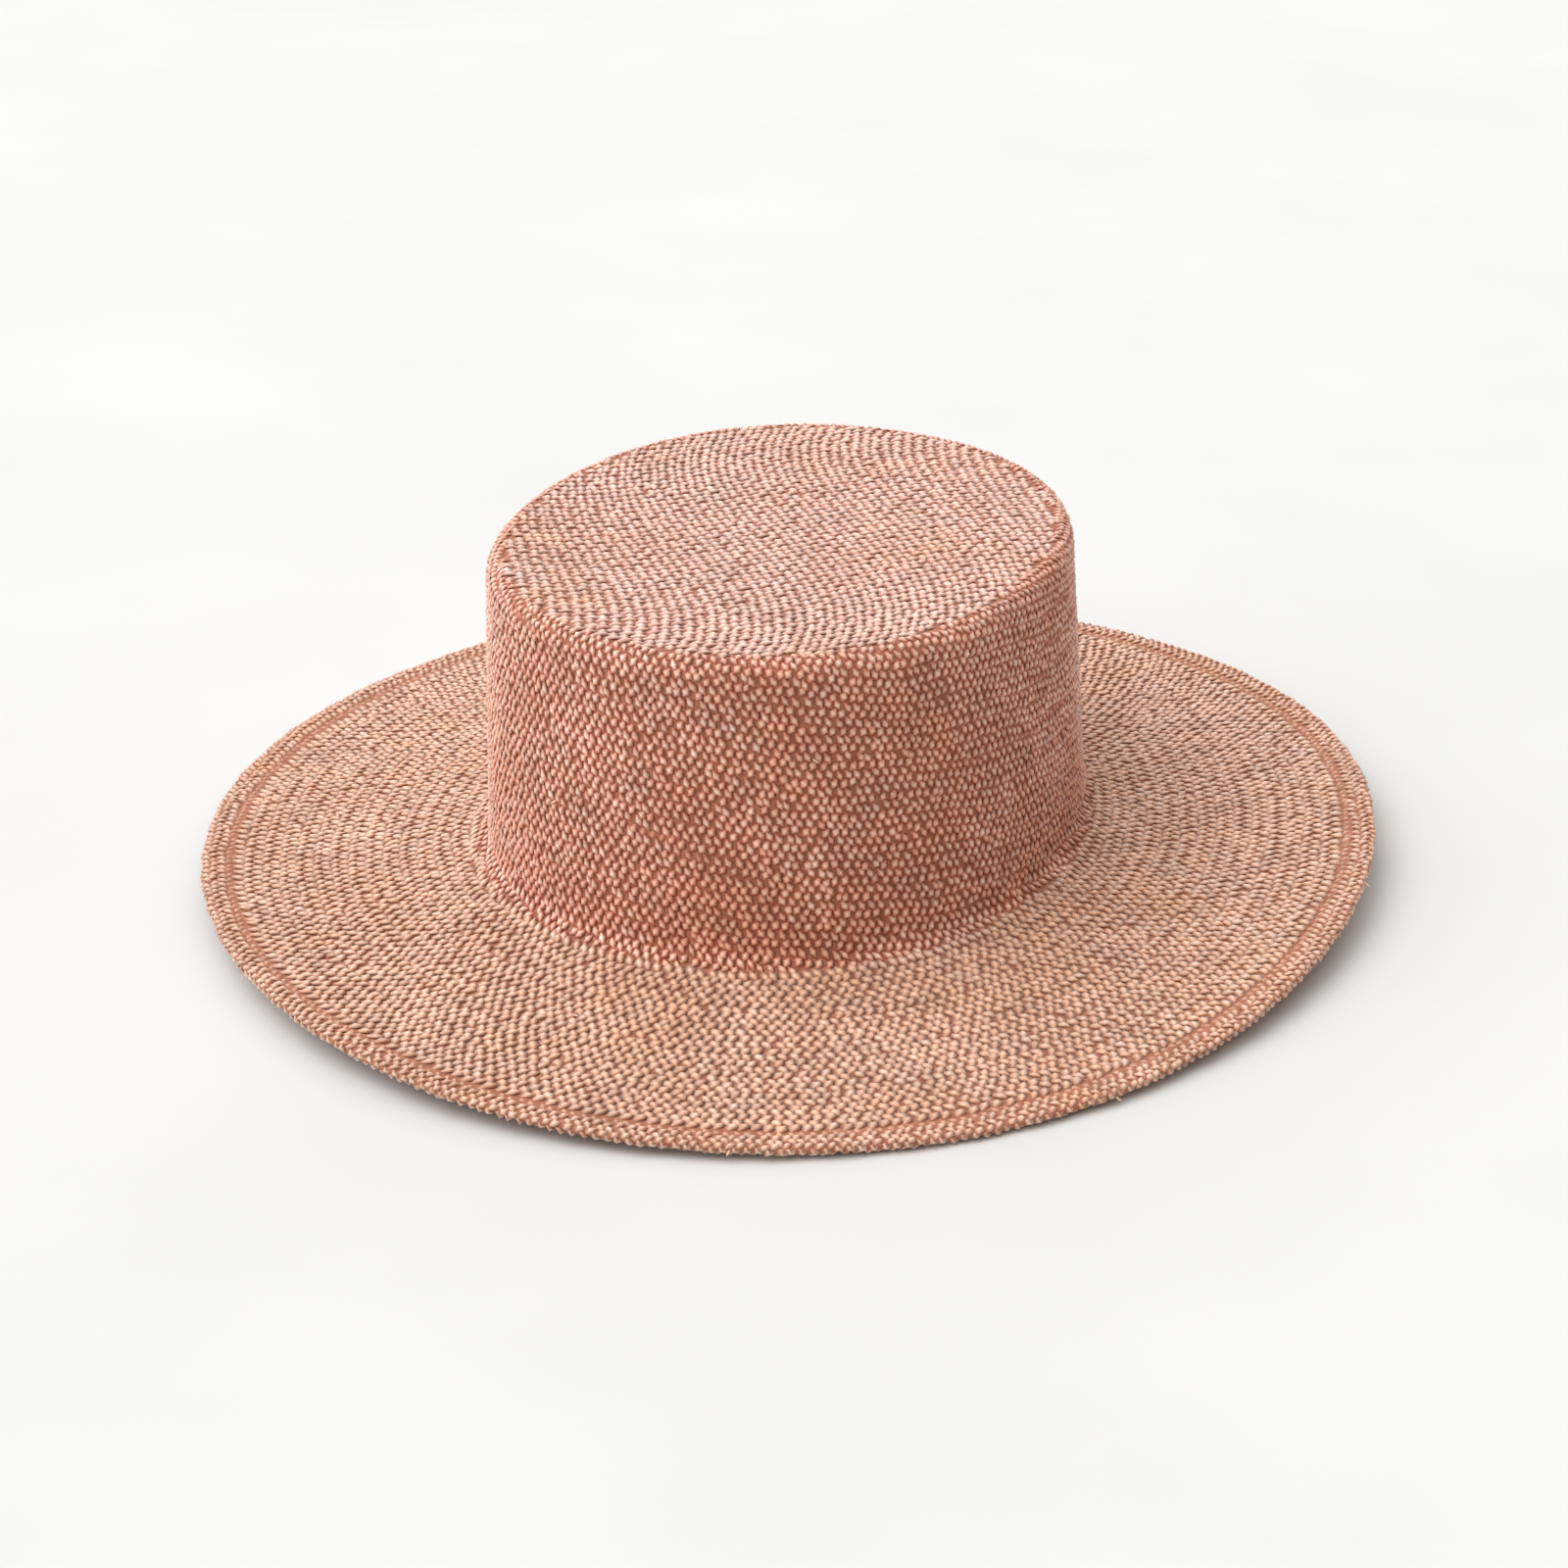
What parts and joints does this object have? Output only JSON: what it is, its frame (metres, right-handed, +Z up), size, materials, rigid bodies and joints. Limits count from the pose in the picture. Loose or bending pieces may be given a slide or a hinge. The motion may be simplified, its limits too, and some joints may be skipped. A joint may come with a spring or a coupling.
{
  "type": "flat top straw hat",
  "caption": "Dusty rose woven straw hat with a flat-topped, slightly tapered oval crown and a wide, gently lifting brim with a turned edge.",
  "frame": {"origin": "centre of the hat's outline on the surface that its brim lies on", "axes": "+Z up out of the crown's flat top, -Y to the front of the hat, X side to side"},
  "size_m": [0.3408, 0.3726, 0.0967],
  "materials": {
    "straw": "dyed and sized woven palm straw, dusty copper rose, satin"
  },
  "bodies": {
    "root": {"straw_body": "straw"}
  },
  "joints": []
}
